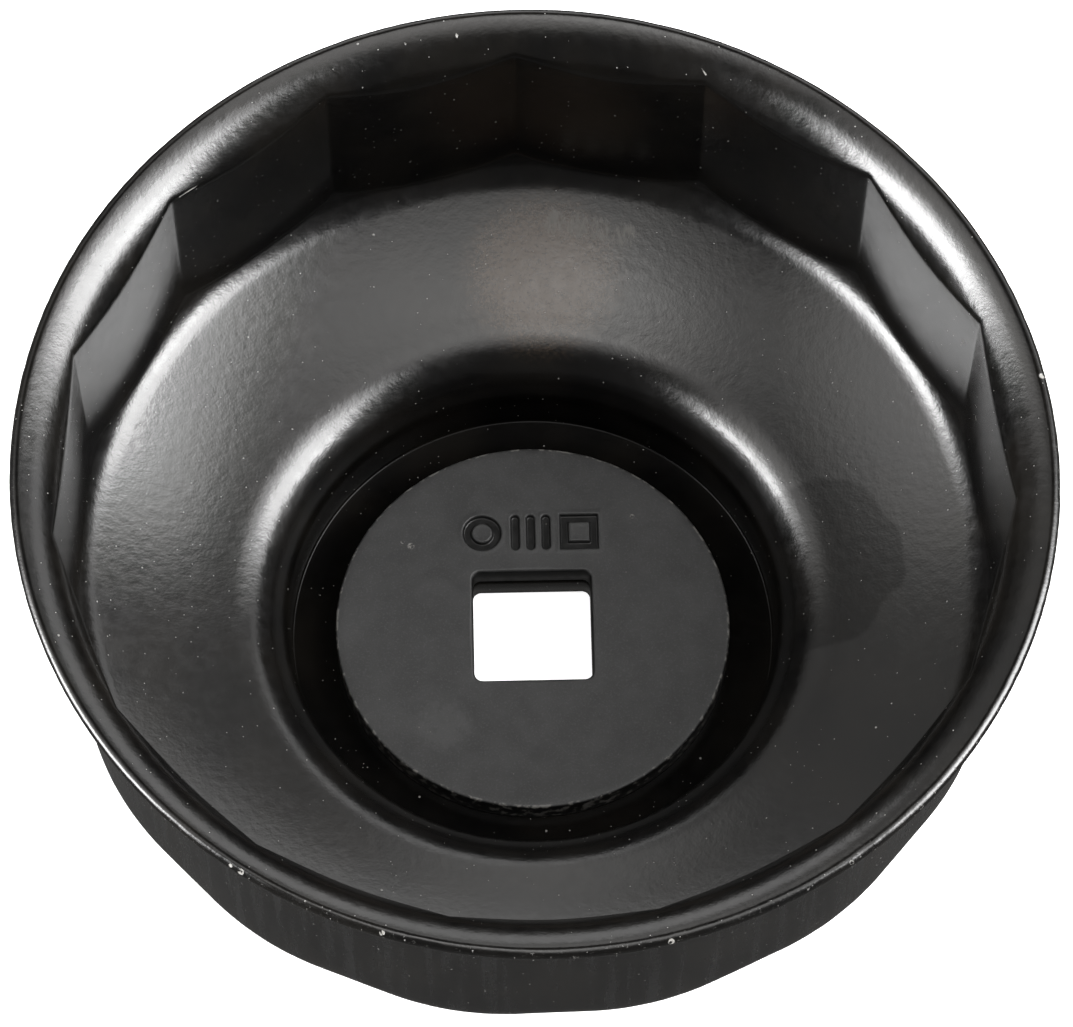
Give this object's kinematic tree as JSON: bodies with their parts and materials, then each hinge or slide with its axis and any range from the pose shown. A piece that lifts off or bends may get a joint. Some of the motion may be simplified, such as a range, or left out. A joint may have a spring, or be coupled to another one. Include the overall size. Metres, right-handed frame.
{
  "type": "oil filter wrench",
  "caption": "Cap-style oil filter wrench: coated pressed-steel cup with flats inside, a flared lip and a recessed well, and a welded plate with a square drive hole.",
  "frame": {"origin": "centre of the back face of the well, which the wrench stands on with its mouth up", "axes": "+Z out of the cup's mouth along its axis; the flats of the drive square face X and Y, and the stamped sign is on the +Y side of the square"},
  "size_m": [0.0828, 0.0828, 0.0358],
  "materials": {
    "coated_cup": "gloss black coat with fine orange peel",
    "coated_plate": "satin black coat over punched plate",
    "weld_steel": "bare weld metal"
  },
  "bodies": {
    "root": {"cup_shell": "coated_cup", "drive_plate": "coated_plate", "projection_welds": "weld_steel"}
  },
  "joints": []
}
